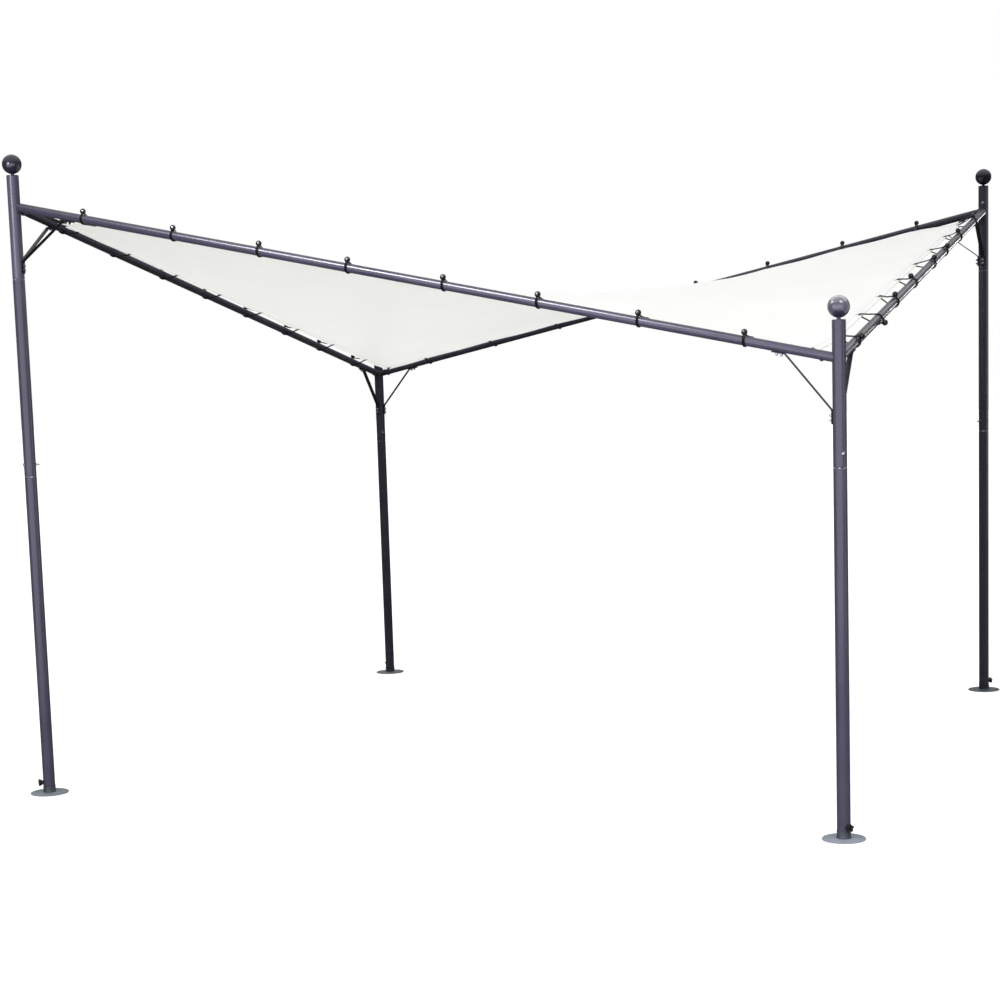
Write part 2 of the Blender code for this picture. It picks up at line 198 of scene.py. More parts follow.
def mottled(name, baseHex, shaderValues, noiseValues, shades, bumpValues=None, shine=None):
    # what the next three finishes share: a noise that shades the base colour, and lifts or dulls the surface
    material, add, shader = newMaterial(name, shaderValues)
    place = add("TexCoord")
    spots = add("TexNoise", noiseValues, {"Vector": (place, "Object")})
    shade = add("MapRange", {1: 0.3, 2: 0.7, 3: shades[0], 4: shades[1]}, {0: (spots, "Fac")})
    tint = add("Mix", {0: 1.0, 6: colour(baseHex)}, {7: (shade, 0)}, data_type="RGBA", blend_type="MULTIPLY")
    link(shader, {"Base Color": (tint, 2)})
    if bumpValues:
        link(shader, {"Normal": (add("Bump", bumpValues, {"Height": (spots, "Fac")}), 0)})
    if shine:
        dull = add("MapRange", {1: 0.3, 2: 0.7, 3: shine[0], 4: shine[1]}, {0: (spots, "Fac")})
        link(shader, {"Roughness": (dull, 0)})
    return material


def mouldedPlastic(name, baseHex, roughness, grain):
    # Injection-moulded plastic: even colour, with the fine grain of a spark-eroded mould.
    grainSize = 0.0012
    shaderValues = {"Roughness": roughness, "IOR": 1.49}
    return mottled(name, baseHex, shaderValues, {"Scale": 1 / grainSize, "Detail": 2}, (0.85, 1.15),
                   {"Strength": grain, "Distance": 0.0002})


def glossyEnamel(name, baseHex):
    # Steel ball sprayed with gloss enamel: deep colour under a clear wet shine, with slight waviness.
    waveSize = 0.02
    wet = {"Roughness": 0.22, "IOR": 1.42, "Coat Weight": 0.2, "Coat Roughness": 0.08}
    return mottled(name, baseHex, wet, {"Scale": 1 / waveSize, "Detail": 3}, (0.85, 1.15),
                   {"Strength": 0.1, "Distance": 0.0003})


def platedMetal(name, baseHex, roughness):
    # Small turned or pressed metal parts, barrel-plated: bright but slightly clouded and scratched.
    scratchSize = 0.004
    scratches = {"Scale": 1 / scratchSize, "Detail": 4, "Distortion": 1.0}
    return mottled(name, baseHex, {"Metallic": 1.0}, scratches, (0.75, 1.1),
                   shine=(roughness - 0.08, roughness + 0.12))


def coatedPolyester(name):
    # White polyester, plain-woven of 0.5 mm yarns and coated on the inside: matt, faintly ribbed,
    # and thin enough that light comes through it. The yarns are drawn 2.5 mm apart so that they show.
    yarnPitch = 0.0025
    rippleSize = 0.35
    stitchLength = 0.004
    material, add, shader = newMaterial(name, {"Roughness": 0.42, "IOR": 1.46, "Sheen Weight": 0.1})
    flat = {"Vector": (add("UVMap", uv_map="flat"), "UV")}
    yarn = {"Scale": 2 * pi / 20 / yarnPitch, "Distortion": 0.3, "Detail": 1}
    warp, weft = (add("TexWave", yarn, flat, bands_direction=axis) for axis in "XY")
    weave = add("Math", links={0: (warp, "Fac"), 1: (weft, "Fac")}, operation="MULTIPLY")
    place = add("TexCoord")
    soil = add("TexNoise", {"Scale": 1 / rippleSize, "Detail": 4}, {"Vector": (place, "Object")})
    tint = add("Mix", {6: colour("#F1F1F0"), 7: colour("#F8F8F8")}, {0: (soil, "Fac")}, data_type="RGBA")
    grey = add("MapRange", {3: 0.93}, {0: (weave, 0)})
    woven = add("Mix", {0: 1.0}, {6: (tint, 2), 7: (grey, 0)}, data_type="RGBA", blend_type="MULTIPLY")
    seam = add("Attribute", attribute_name="stitching")
    along = add("TexChecker", {"Scale": 1 / stitchLength}, flat)
    thread = add("Math", links={0: (seam, "Fac"), 1: (along, "Fac")}, operation="MULTIPLY")
    stitched = add("Mix", {7: colour("#DCDDDF")}, {0: (thread, 0), 6: (woven, 2)}, data_type="RGBA")
    pattern = add("Math", links={0: (weave, 0), 1: (thread, 0)}, operation="ADD")
    bump = add("Bump", {"Strength": 0.3, "Distance": 0.0004}, {"Height": (pattern, 0)})
    link(shader, {"Base Color": (stitched, 2), "Normal": (bump, 0)})
    through = add("BsdfTranslucent", links={"Color": (stitched, 2), "Normal": (bump, 0)})
    thin = add("MixShader", {0: 0.22}, {1: (shader, 0), 2: (through, 0)})
    link(material.node_tree.nodes["Material Output"], {"Surface": (thin, 0)})
    return material


def braidedElastic(name):
    # Rubber strands in a braided polyester sheath: matt black with a fine diagonal plait, 2 mm a stitch.
    plait = 0.002
    strandsRound = 6
    material, add, shader = newMaterial(name, {"Roughness": 0.6, "IOR": 1.5, "Sheen Weight": 0.1})
    along = add("UVMap", uv_map="along")
    split = add("SeparateXYZ", links={0: (along, "UV")})
    turns = add("Math", {1: strandsRound * 2 * pi}, {0: (split, 0)}, operation="MULTIPLY")
    length = add("Math", {1: 2 * pi / plait}, {0: (split, 1)}, operation="MULTIPLY")
    lays = []
    for direction in ("ADD", "SUBTRACT"):
        angle = add("Math", links={0: (turns, 0), 1: (length, 0)}, operation=direction)
        lays.append(add("Math", links={0: (angle, 0)}, operation="SINE"))
    strands = add("Math", links={0: (lays[0], 0), 1: (lays[1], 0)}, operation="MAXIMUM")
    shade = add("MapRange", {1: -0.5}, {0: (strands, 0)})
    tint = add("Mix", {6: colour("#0D0D0E"), 7: colour("#242426")}, {0: (shade, 0)}, data_type="RGBA")
    bump = add("Bump", {"Strength": 0.6, "Distance": 0.0004}, {"Height": (strands, 0)})
    link(shader, {"Base Color": (tint, 2), "Normal": (bump, 0)})
    return material


# By the record's slot, or by its own name where two finishes share a slot.
materials = {
    "frame_paint": powderCoat("powderCoatedSteelTube", "#3D3B49", "#464451", 0.28),
    # the tubes' powder coat, made darker on the braces: painted shade under the beams
    "brace_paint": powderCoat("powderCoatedFlatBar", "#25242B", "#2E2D34", 0.42),
    # the plates' pale colour is dust and painted light: more on plates that stand in light, less on those in
    # shade
    "foot_plate": powderCoat("powderCoatedPlate", "#2B3036", "#8E969E", 0.42, 0.12),
    "knob_plastic": mouldedPlastic("mouldedKnobNylon", "#121213", 0.38, 0.3),
    "ball": mouldedPlastic("mouldedTieBall", "#141416", 0.3, 0.15),
    "finial_gloss": glossyEnamel("glossEnamelBall", "#1E1B29"),
    "canopy_fabric": coatedPolyester("coatedPolyesterCloth"),
    "tie_elastic": braidedElastic("braidedElasticCord"),
    "bolt": platedMetal("zincPlatedSteel", "#A2A5AB", 0.34),
    "eyelet": platedMetal("nickelPlatedBrass", "#C9CACC", 0.3),
}
print("materials made,", len(materials))


# Small helpers for modelling

def useOnly(*pieces):
    bpy.ops.object.select_all(action="DESELECT")
    for piece in pieces:
        piece.select_set(True)
    bpy.context.view_layer.objects.active = pieces[0]


def editPiece(piece):
    useOnly(piece)
    bpy.ops.object.mode_set(mode="EDIT")


def selectWhere(piece, kind, test):
    # in edit mode: selects the vertices, edges or faces that pass the test
    bpy.ops.mesh.select_mode(type=kind)
    bpy.ops.mesh.select_all(action="DESELECT")
    mesh = bmesh.from_edit_mesh(piece.data)
    for part in {"VERT": mesh.verts, "EDGE": mesh.edges, "FACE": mesh.faces}[kind]:
        if test(part):
            part.select_set(True)
    mesh.select_flush_mode()
    bmesh.update_edit_mesh(piece.data)


def modify(piece, kind, **settings):
    # adds a modifier with its settings and applies it
    useOnly(piece)
    modifier = piece.modifiers.new(kind, kind)
    for name, value in settings.items():
        setattr(modifier, name, value)
    bpy.ops.object.modifier_apply(modifier=modifier.name)


def cleanUp(piece):
    editPiece(piece)
    bpy.ops.mesh.select_mode(type="VERT")
    bpy.ops.mesh.select_all(action="SELECT")
    bpy.ops.mesh.remove_doubles(threshold=0.00001)
    bpy.ops.mesh.normals_make_consistent(inside=False)
    bpy.ops.object.mode_set(mode="OBJECT")


def discard(*pieces):
    for piece in pieces:
        bpy.data.objects.remove(piece, do_unlink=True)


def cutWith(piece, cutter, operation="DIFFERENCE"):
    modify(piece, "BOOLEAN", operation=operation, object=cutter)
    discard(cutter)


def cylinder(steps, radius, depth, where=(0, 0, 0), ends="NGON"):
    bpy.ops.mesh.primitive_cylinder_add(vertices=steps, radius=radius, depth=depth, location=where,
                                        end_fill_type=ends)
    return bpy.context.object


def place(piece, matrix):
    # puts the piece's place into its mesh, with its faces kept outward in a mirrored copy
    piece.data.transform(matrix @ piece.matrix_basis)
    piece.matrix_basis = Matrix.Identity(4)
    if matrix.to_3x3().determinant() < 0:
        piece.data.flip_normals()
    piece.data.update()
    return piece


def copyAt(model, matrix):
    twin = model.copy()
    twin.data = model.data.copy()
    bpy.context.scene.collection.objects.link(twin)
    return place(twin, matrix)


def copiesAtPosts(model, matrixAt):
    # a copy of the model at each corner, after which the model goes
    for corner in corners:
        yield corner, copyAt(model, matrixAt(corner))
    discard(model)


def joined(pieces):
    useOnly(*pieces)
    bpy.ops.object.join()
    return pieces[0]


def mark(piece, layer, amounts):
    # how worn, dusty or stitched the piece is at each vertex, from 0 to 1
    attribute = piece.data.attributes.new(layer, "FLOAT", "POINT")
    attribute.data.foreach_set("value", [float(amount) for amount in amounts])


def hangUp(piece, name, slot, finish=None, node=None, sharpAngle=32):
    # names the finished piece, gives it its finish and fixes it to the frame, in place of its node if any
    useOnly(piece)
    bpy.ops.object.transform_apply(location=True, rotation=True, scale=True)
    bpy.ops.object.shade_smooth_by_angle(angle=radians(sharpAngle))
    piece.name = piece.data.name = plainName(name)
    piece.data.materials.clear()
    piece.data.materials.append(materials[finish or slot])
    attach(piece, "root")
    if (node or name) in frame["nodes"]:
        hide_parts(node or name)
    return piece


def turnedPiece(profile, steps, closed=False):
    # a ring at the first radius and height, then extruded and resized through the profile, as on a lathe
    poleRadius = 0.000001  # small enough that cleanUp makes it one point
    points = [(max(radius, poleRadius), height) for radius, height in profile]
    radius, height = points[0]
    bpy.ops.mesh.primitive_circle_add(vertices=steps, radius=radius, location=(0, 0, 0))
    piece = bpy.context.object
    bpy.ops.object.mode_set(mode="EDIT")
    bpy.ops.transform.translate(value=(0, 0, height))
    for nextRadius, nextHeight in points[1:] + points[:closed]:
        bpy.ops.mesh.extrude_edges_move(TRANSFORM_OT_translate={"value": (0, 0, nextHeight - height)})
        ratio = nextRadius / radius
        bpy.ops.transform.resize(value=(ratio, ratio, 1), center_override=(0, 0, nextHeight))
        radius, height = nextRadius, nextHeight
    bpy.ops.object.mode_set(mode="OBJECT")
    cleanUp(piece)
    return piece


def arcPoints(centreRadius, centreHeight, radius, start, end, steps):
    angles = [radians(start + (end - start) * i / steps) for i in range(steps + 1)]
    return [(centreRadius + radius * cos(a), centreHeight + radius * sin(a)) for a in angles]


# Feet: a round plate with a welded stub whose neck stands inside the post

foot = {
    "plateDiameter": 0.160,
    "plateThickness": 0.004,
    "rim": 0.0012,  # rounding of the plate's edge
    "holeDiameter": 0.012,
    "holeFromMiddle": 0.066,
    "stubDiameter": 0.052,
    "chamfer": 0.0008,
    "weld": 0.0035,  # size of the fillet weld round the stub
    "weldCurve": ((1, 0), (0.55, 0.25), (0.2, 0.6), (0, 1)),  # as shares of it, outward and up
    "neckLength": 0.080,
    "steps": 64,
    # how much pale colour each plate gets: dust, and painted light and shade, more on the plates that stand
    # in light, less on those in shade
    "dust": {"front_left": 0.5, "front_right": 0.78, "back_left": 0.4, "back_right": 0.22},
}


def makeFoot():
    plate = foot["plateDiameter"] / 2
    top = foot["plateThickness"]
    rim = foot["rim"]
    stub = foot["stubDiameter"] / 2
    neck = postRadius - wall - fitGap
    bore = neck - wall
    shoulder = stubTop - fitGap
    neckEnd = shoulder + foot["neckLength"]
    profile = [(0, 0), (plate - rim, 0)]
    profile += arcPoints(plate - rim, rim, rim, -90, 0, 3)[1:]
    profile += arcPoints(plate - rim, top - rim, rim, 0, 90, 3)
    profile += [(stub + foot["weld"] * out, top + foot["weld"] * up) for out, up in foot["weldCurve"]]
    profile += [(stub, shoulder - foot["chamfer"]), (stub - foot["chamfer"], shoulder), (neck, shoulder)]
    profile += [(neck, neckEnd), (bore, neckEnd), (bore, top), (0, top)]
    piece = turnedPiece(profile, foot["steps"])
    for side in (-1, 1):
        where = (side * foot["holeFromMiddle"], 0, top / 2)
        cutWith(piece, cylinder(28, foot["holeDiameter"] / 2, 0.03, where))
    cleanUp(piece)
    return piece


for corner, copy in copiesAtPosts(makeFoot(), atPost):
    # pale colour on the plate's top only: dust, and painted light and shade by how lit each plate stands
    onPlate = [vertex.co.z < foot["plateThickness"] + 0.0005 for vertex in copy.data.vertices]
    mark(copy, "dust", [foot["dust"][corner] * isOn for isOn in onPlate])
    hangUp(copy, "foot_" + corner, "foot_plate")
print("feet made")


# Clamping knobs: a star knob on a short neck, turned in on the post's outward diagonal

knob = {
    "height": 0.048,
    "lobes": 5,
    "lobeRadius": 0.0172,
    "valleyRadius": 0.0130,
    "taper": 0.62,  # how much narrower the knob is where it meets its neck
    "thickness": 0.0150,
    "rounding": 0.0016,
    "neckRadius": 0.0065,
    "neckLength": 0.0035,
    "flange": 0.0035,  # how far the neck's foot stands out
    "screwRadius": 0.004,
    "screwInside": 0.007,
    "dish": (0.0022, 0.0016),  # how far in from its edge the face is sunk, and how deep
}


def makeKnob():
    steps = knob["lobes"] * 12
    start = postRadius + fitGap
    bottom = start + knob["neckLength"]
    top = bottom + knob["thickness"]
    piece = cylinder(steps, 1, top - bottom)
    editPiece(piece)
    mesh = bmesh.from_edit_mesh(piece.data)
    middle = (knob["lobeRadius"] + knob["valleyRadius"]) / 2
    swing = (knob["lobeRadius"] - knob["valleyRadius"]) / 2
    for vertex in mesh.verts:
        angle = atan2(vertex.co.y, vertex.co.x)
        reach = middle + swing * cos(knob["lobes"] * angle)
        if vertex.co.z < 0:
            reach *= knob["taper"]
        vertex.co = (reach * cos(angle), reach * sin(angle), vertex.co.z + (top + bottom) / 2)
    bmesh.update_edit_mesh(piece.data)
    selectWhere(piece, "EDGE", lambda edge: abs(edge.verts[0].co.z - edge.verts[1].co.z) < 1e-6)
    bpy.ops.mesh.bevel(offset=knob["rounding"], segments=3, affect="EDGES")
    selectWhere(piece, "FACE", lambda face: face.normal.z > 0.9 and len(face.verts) > 12)
    bpy.ops.mesh.inset(thickness=knob["dish"][0], depth=-knob["dish"][1])
    bpy.ops.object.mode_set(mode="OBJECT")
    neck, screw, inside = knob["neckRadius"], knob["screwRadius"], postRadius - knob["screwInside"]
    profile = [(0, inside), (screw, inside), (screw, start)]
    flange = neck + knob["flange"]
    profile += [(flange, start), (flange, start + 0.0010), (neck, start + 0.0018)]
    profile += [(neck, bottom + 0.002), (0, bottom + 0.002)]
    cutWith(piece, turnedPiece(profile, 32), "UNION")
    return piece


def knobMatrix(corner):
    return pointing(postPlace(corner, knob["height"]), (*corners[corner][:2], 0), "X")


for corner, copy in copiesAtPosts(makeKnob(), knobMatrix):
    hangUp(copy, "foot_knob_" + corner, "knob_plastic")
print("knobs made")


# Posts: lengths of tube, each sliding over the drawn-in neck of the one below

tube = {
    "steps": 64,
    "lip": 0.0010,  # rounding of each cut end
    "shoulder": 0.0042,  # height of the rounded shoulder where a tube is drawn in to its neck
    "wornTo": 0.0050,  # how far from a seam the paint is rubbed
    "neckLength": 0.080,
    "spigotLength": 0.080,
    "underCap": 0.0023,  # from the end of the tube to the top of its cap
}


def makeTube(corner, bottom, top, hasNeck=True):
    lip = tube["lip"]
    worn = tube["wornTo"]
    outer = postRadius
    bore = outer - wall
    neck = bore - fitGap
    profile = [(bore, bottom + lip), (outer - lip, bottom), (outer - lip * 0.3, bottom + lip * 0.3),
               (outer, bottom + lip), (outer, bottom + worn)]
    if hasNeck:
        shoulder = tube["shoulder"]
        end = top + tube["neckLength"]
        profile += [(outer, top - shoulder - worn), (outer, top - shoulder)]
        profile += [(neck + (outer - neck) * cos(radians(a)), top - shoulder + shoulder * sin(radians(a)))
                    for a in (22, 45, 68, 90)]
        profile += [(neck, end), (neck - wall, end), (neck - wall, top - 2 * wall), (bore, top - 4 * wall)]
    else:
        profile += [(outer, top - worn), (outer, top - lip), (outer - lip, top), (bore, top)]
    return place(turnedPiece(profile, tube["steps"], closed=True), atPost(corner))


def slopedTube(side, start, end, radius):
    # a round tube along a side's beam, from start to end along its X
    first = beamPoint(side, start)
    last = beamPoint(side, end)
    piece = cylinder(48, radius, (last - first).length, ends="NOTHING")
    place(piece, pointing((first + last) / 2, last - first))
    modify(piece, "SOLIDIFY", thickness=wall, offset=-1)
    cleanUp(piece)
    return piece


def makeTopSection(corner, isTall):
    bottom = upperSeam if isTall else lowerSeam
    piece = makeTube(corner, bottom, pavilion["postTop"][isTall] - tube["underCap"], hasNeck=False)
    for side, end, beamCorner in beamEnds:
        if beamCorner == corner:
            inPost = end * (halfSpan - postRadius + wall)
            spigotEnd = inPost - end * (wall + tube["spigotLength"])
            cutWith(piece, slopedTube(side, inPost, spigotEnd, beamRadius - wall - fitGap), "UNION")
    return piece


def hangPost(piece, name):
    nearest = [min(abs(vertex.co.z - seam) for seam in (stubTop, lowerSeam, upperSeam))
               for vertex in piece.data.vertices]
    mark(piece, "wear", [distance < tube["wornTo"] - 0.0002 for distance in nearest])
    hangUp(piece, name, "frame_paint")


for corner, (_, _, isTall) in corners.items():
    hangPost(makeTube(corner, stubTop, lowerSeam - fitGap), "post_lower_" + corner)
    if isTall:
        hangPost(makeTube(corner, lowerSeam, upperSeam - fitGap), "post_middle_" + corner)
    hangPost(makeTopSection(corner, isTall), "post_top_" + corner)
print("posts made")


# Finials: a ball on a narrow neck, on the cap that closes the post

finial = {
    "ballDiameter": 0.080,
    "ballAbovePost": 0.045,  # height of the ball's middle over the post's end
    "neckRadius": 0.0070,
    "capThickness": 0.002,
    "capRounding": 0.0008,
    "plugDepth": 0.015,
    "steps": 64,
}


def makeFinial():
    # drawn with the post's end at height 0
    ball = finial["ballDiameter"] / 2
    neck = finial["neckRadius"]
    cap = finial["capThickness"]
    rounding = finial["capRounding"]
    plug = postRadius - wall - fitGap
    start = degrees(atan2(-sqrt(ball * ball - neck * neck), neck))
    profile = [(0, -cap - finial["plugDepth"]), (plug, -cap - finial["plugDepth"]), (plug, -cap)]
    profile += [(postRadius, -cap), (postRadius, -rounding), (postRadius - rounding, 0)]
    profile += [(neck + 0.004, 0), (neck + 0.0015, 0.0008), (neck, 0.003)]
    profile += arcPoints(0, finial["ballAbovePost"], ball, start, 90, 30)
    return turnedPiece(profile, finial["steps"])


def finialMatrix(corner):
    return atPost(corner, pavilion["postTop"][corners[corner][2]])


for corner, copy in copiesAtPosts(makeFinial(), finialMatrix):
    hangUp(copy, "finial_" + corner, "finial_gloss", sharpAngle=40)
print("finials made")


# Beams: round tube, its ends cut to the round of the posts

def makeBeam(side):
    piece = slopedTube(side, -halfSpan, halfSpan, beamRadius)
    for end in (-1, 1):
        cutWith(piece, cylinder(96, postRadius + fitGap, 0.4, beamPoint(side, end * halfSpan)))
    return piece


for side in sides:
    hangUp(makeBeam(side), "beam_" + side, "frame_paint")
print("beams made")


# Braces: flat bar bent to a lug at each end

brace = {
    "width": 0.020,
    "thickness": 0.004,
    # at the short posts and at the tall ones
    "reach": (0.196, 0.236),  # from the post's axis to the bend under the beam
    "drop": (0.183, 0.226),  # from the beam's axis at the post down to the lower bend
    "lug": 0.050,
    "bendRadius": 0.012,
    "bendSteps": 5,
    "rounding": 0.0008,
}


def bracePath(isTall):
    # X from the post's axis towards the beam's middle, Z from the beam's axis at the post
    climb = -slope if isTall else slope
    drop = brace["drop"][isTall]
    bend = brace["reach"][isTall]
    half = brace["thickness"] / 2
    postLine = postRadius + fitGap + half
    beamLine = -(beamRadius + fitGap + half) / slopeCos
    lugEnd = bend + brace["lug"] * slopeCos
    return [Vector((postLine, 0, -drop - brace["lug"])), Vector((postLine, 0, -drop)),
            Vector((bend, 0, beamLine + climb * bend)), Vector((lugEnd, 0, beamLine + climb * lugEnd))]


def roundBends(path, radius, steps):
    # replaces each inner corner of a path by an arc that touches both its legs
    points = [path[0]]
    for before, corner, after in zip(path, path[1:], path[2:]):
        toBefore = (before - corner).normalized()
        toAfter = (after - corner).normalized()
        half = toBefore.angle(toAfter) / 2
        reach = radius / (sin(half) / cos(half))
        centre = corner + (toBefore + toAfter).normalized() * radius / sin(half)
        first = corner + toBefore * reach - centre
        last = corner + toAfter * reach - centre
        points += [centre + first.slerp(last, i / steps) * radius for i in range(steps + 1)]
    return points + [path[-1]]


def makeBrace(isTall):
    path = roundBends(bracePath(isTall), brace["bendRadius"], brace["bendSteps"])
    bpy.ops.mesh.primitive_plane_add(size=brace["width"], location=(0, 0, 0))
    piece = bpy.context.object
    editPiece(piece)
    selectWhere(piece, "VERT", lambda vertex: vertex.co.x > 0)
    bpy.ops.mesh.delete(type="VERT")
    bpy.ops.mesh.select_all(action="SELECT")
    bpy.ops.transform.translate(value=path[0] + Vector((brace["width"] / 2, 0, 0)))
    for start, end in zip(path, path[1:]):
        bpy.ops.mesh.extrude_edges_move(TRANSFORM_OT_translate={"value": end - start})
    bpy.ops.object.mode_set(mode="OBJECT")
    cleanUp(piece)
    modify(piece, "SOLIDIFY", thickness=brace["thickness"], offset=0, use_even_offset=True)
    modify(piece, "BEVEL", width=brace["rounding"], segments=2, limit_method="ANGLE", angle_limit=radians(50))
    cleanUp(piece)
    return piece


def braceMatrix(side, end):
    # from a brace's own drawing to its place at one end of a side's beam
    post = Matrix.Translation(beamPoint(side, end * halfSpan))
    return post @ sideTurn(side) @ Matrix.Scale(-end, 4, (1, 0, 0))


for side, end, corner in beamEnds:
    piece = place(makeBrace(corners[corner][2]), braceMatrix(side, end))
    hangUp(piece, f"brace_{corner}_{side}", "brace_paint")
print("braces made")


# Bolts: studs with washers and nuts, dome-headed bolts through the posts, and screws under the beams

bolt = {
    "washerRadius": 0.0065,
    "washerThickness": 0.0012,
    "nutAcrossFlats": 0.010,
    "nutHeight": 0.005,
    "threadRadius": 0.003,
    "threadDepth": 0.0005,
    "threadPitch": 0.001,
    "studEnd": 0.0035,  # thread that shows past a nut on a brace
    "throughEnd": 0.010,  # and past a nut on a post
    "domeRadius": 0.0085,
    "domeHeight": 0.0052,
    "lugBolts": (0.27, 0.62),  # along each lug, as shares of its length
    "seamBoltAboveSeam": 0.048,
    "beamBoltFromPost": 0.060,
    "topScrewUnderTop": 0.088,
    "bedded": 0.0004,  # how far a head sits in the round of a post
}


def threadProfile(start, end):
    outer = bolt["threadRadius"]
    inner = outer - bolt["threadDepth"]
    pitch = bolt["threadPitch"]
    profile = [(0, start)]
    for i in range(max(1, round((end - start - 0.001) / pitch))):
        base = start + i * pitch
        profile += [(inner, base), (outer, base + pitch / 2)]
    return profile + [(inner, end - 0.0006), (inner - 0.0006, end), (0, end)]


def makeNut(tail):
    # washer, six-sided nut and thread end, standing on height 0
    rim = bolt["washerRadius"]
    low = bolt["washerThickness"]
    high = low + bolt["nutHeight"]
    flat = bolt["nutAcrossFlats"] / 2
    corner = bolt["nutAcrossFlats"] / sqrt(3)
    washer = turnedPiece([(0, 0), (rim, 0), (rim, low * 0.8), (rim - 0.0003, low), (0, low)], 24)
    nut = place(cylinder(6, corner, high - low, (0, 0, (high + low) / 2)), Matrix.Identity(4))
    cone = [(0, low - 0.001), (flat * 1.2, low - 0.001), (corner * 1.02, low + 0.0006),
            (corner * 1.02, high - 0.0010), (flat * 0.98, high), (0, high)]
    cutWith(nut, turnedPiece(cone, 36), "INTERSECT")
    return joined([washer, nut, turnedPiece(threadProfile(high - 0.001, high + tail), 14)])


def makeDome():
    radius = bolt["domeRadius"]
    height = bolt["domeHeight"]
    curve = (radius * radius + height * height) / (2 * height)
    start = degrees(acos(radius / curve))
    return turnedPiece([(0, 0), (radius, 0)] + arcPoints(0, height - curve, curve, start, 90, 6), 28)


studNut = makeNut(bolt["studEnd"])
throughNut = makeNut(bolt["throughEnd"])
dome = makeDome()

for side, end, corner in beamEnds:
    start, lowBend, highBend, lugEnd = bracePath(corners[corner][2])
    under = (lugEnd - highBend).normalized().cross(Vector((0, -1, 0)))
    parts = []
    for first, last, outward in ((start, lowBend, Vector((1, 0, 0))), (highBend, lugEnd, under)):
        for share in bolt["lugBolts"]:
            spot = first.lerp(last, share) + outward * (brace["thickness"] / 2)
            parts.append(copyAt(studNut, braceMatrix(side, end) @ pointing(spot, outward)))
    hangUp(joined(parts), f"braceBolts_{corner}_{side}", "brace_paint", "bolt")

for corner, (sideX, sideY, isTall) in corners.items():
    outward = Vector((sideX, sideY, 0)).normalized()
    seamBolt = lowerSeam + bolt["seamBoltAboveSeam"]
    topScrew = pavilion["postTop"][isTall] - bolt["topScrewUnderTop"]
    parts = []
    for model, height, direction in ((dome, seamBolt, outward), (throughNut, seamBolt, -outward),
                                     (dome, topScrew, Vector((0, -sideY, 0)))):
        spot = postPlace(corner, height) + direction * (postRadius - bolt["bedded"])
        parts.append(copyAt(model, pointing(spot, direction)))
    hangUp(joined(parts), "postBolts_" + corner, "frame_paint", "bolt")

for side in sides:
    middle = beamPoint(side, 0)
    down = (beamPoint(side, 0, 1) - middle).cross(beamPoint(side, 1) - middle).normalized()
    parts = []
    for end in (-1, 1):
        spot = beamPoint(side, end * (halfSpan - bolt["beamBoltFromPost"]))
        parts.append(copyAt(dome, pointing(spot + down * (beamRadius - 0.0005), down)))
    hangUp(joined(parts), "beamBolts_" + side, "frame_paint", "bolt")
discard(studNut, throughNut, dome)
print("bolts made")


# Canopy: one sheet of coated cloth, hemmed all round, with eyelets near its edge

canopy = {
    "edgeInset": 0.065,  # from the beam's axis to the edge of the cloth
    "hemWidth": 0.035,
    "linesFromEdge": (0, 0.003, 0.0045, 0.018, 0.031, 0.0325),  # of the mesh, along the hem
    "hemStep": 0.0015,
    "stitchInset": (0.003, 0.031),  # of the two rows of stitching, from the edge
    "clothThickness": 0.0008,
    "hemThickness": 0.0024,
    "cells": 96,
    "midSag": 0.026,  # how far the cloth hangs under the true saddle in its middle
    "scallopReach": 0.05,
    "scallop": 0.005,  # how far the edge draws in between two eyelets
    "dropReach": 0.22,
    "cornerDrop": 0.019,  # how far the corners hang under the saddle
    # how far each corner is drawn in along both its sides
    "cornerPull": {"front_left": 0.058, "front_right": 0.036, "back_left": 0.034, "back_right": 0.014},
    "pullReach": 0.15,  # and how far along the edge that is felt
    "ripple": 0.0022,
    "rippleReach": 0.16,
    "swell": 0.006,
    "swellsPerMetre": 1.6,
    "eyeletInset": 0.083,
    "cornerEyeletInset": 0.095,
    "firstEyelet": 0.336,  # from the post's axis to the nearest eyelet along the side
    "perSide": 8,
    "cutSide": 3.40,  # the cloth is cut to this before it is hemmed
}
clothEdge = halfSpan - canopy["edgeInset"]
hemLine = clothEdge - canopy["hemWidth"]
firstTie = halfSpan - canopy["firstEyelet"]
tiePitch = 2 * firstTie / (canopy["perSide"] - 1)
tiePlaces = [-firstTie + i * tiePitch for i in range(canopy["perSide"])]


def clothHeight(x, y):
    # a sagging saddle whose corners hang a little, with soft ripples that run in from the eyelets
    u = x / halfSpan
    v = y / halfSpan
    saddle = middleHeight + rise * u * v - canopy["midSag"] * (1 - u * u) * (1 - v * v)
    inX = clothEdge - abs(x)
    inY = clothEdge - abs(y)
    drop = canopy["cornerDrop"] * exp(-(hypot(inX, inY) / canopy["dropReach"]) ** 2)
    ripple = 0.0
    for depth, along in ((inX, y), (inY, x)):
        fade = exp(-depth / canopy["rippleReach"]) * min(1.0, (clothEdge - abs(along)) / 0.3)
        ripple += fade * cos(2 * pi * (along - tiePlaces[0]) / tiePitch)
    swell = noise.noise(Vector((x * canopy["swellsPerMetre"], y * canopy["swellsPerMetre"], 3.7)))
    inner = max(0.0, 1 - (max(abs(x), abs(y)) / clothEdge) ** 4)
    return saddle - (drop - canopy["ripple"] * ripple - canopy["swell"] * swell * inner)


def drawnIn(x, y):
    # how far the pull of the nearest corner moves a place of the plain square sheet
    corner = ("front" if y < 0 else "back") + ("_left" if x < 0 else "_right")
    away = hypot(clothEdge - abs(x), clothEdge - abs(y)) / canopy["pullReach"]
    return canopy["cornerPull"][corner] * exp(-away * away)


